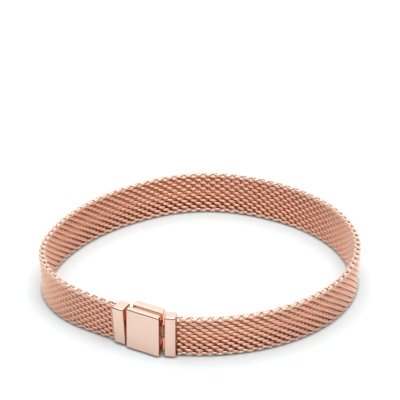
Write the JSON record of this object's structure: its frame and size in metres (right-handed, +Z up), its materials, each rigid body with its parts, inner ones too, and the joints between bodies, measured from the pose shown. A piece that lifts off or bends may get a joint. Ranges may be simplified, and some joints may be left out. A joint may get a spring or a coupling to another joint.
{
  "type": "mesh bracelet",
  "caption": "Closed bracelet of fine woven wire mesh with plain strap ends, joined by a small box clasp that has a hinged cover and a ring link, lying on its side",
  "frame": {"origin": "on the surface that the bracelet lies on, under the middle of its outline", "axes": "+Z up, along the wrist's axis; the clasp is in front, towards -Y and a little to the left, with its cover facing outwards"},
  "size_m": [0.0608, 0.0616, 0.0082],
  "materials": {
    "woven_wire": "rose-gold-plated woven wire, satin",
    "plain_metal": "rose-gold-plated plain metal, satin faces and polished edges",
    "small_metal": "rose-gold-plated wire and pin, polished"
  },
  "bodies": {
    "bracelet": {"mesh_band": "woven_wire", "left_strap_end": "plain_metal", "clasp_base": "plain_metal", "hinge_pin": "small_metal", "end_link": "small_metal", "right_strap_end": "plain_metal"},
    "cover": {"clasp_cover": "plain_metal"}
  },
  "joints": [
    {"name": "cover_hinge", "type": "hinge", "parent": "bracelet", "child": "cover", "pos_m": [-0.00797, -0.02942, 0.0041], "axis": [0, 0, 1], "range_deg": [0, 90]}
  ]
}
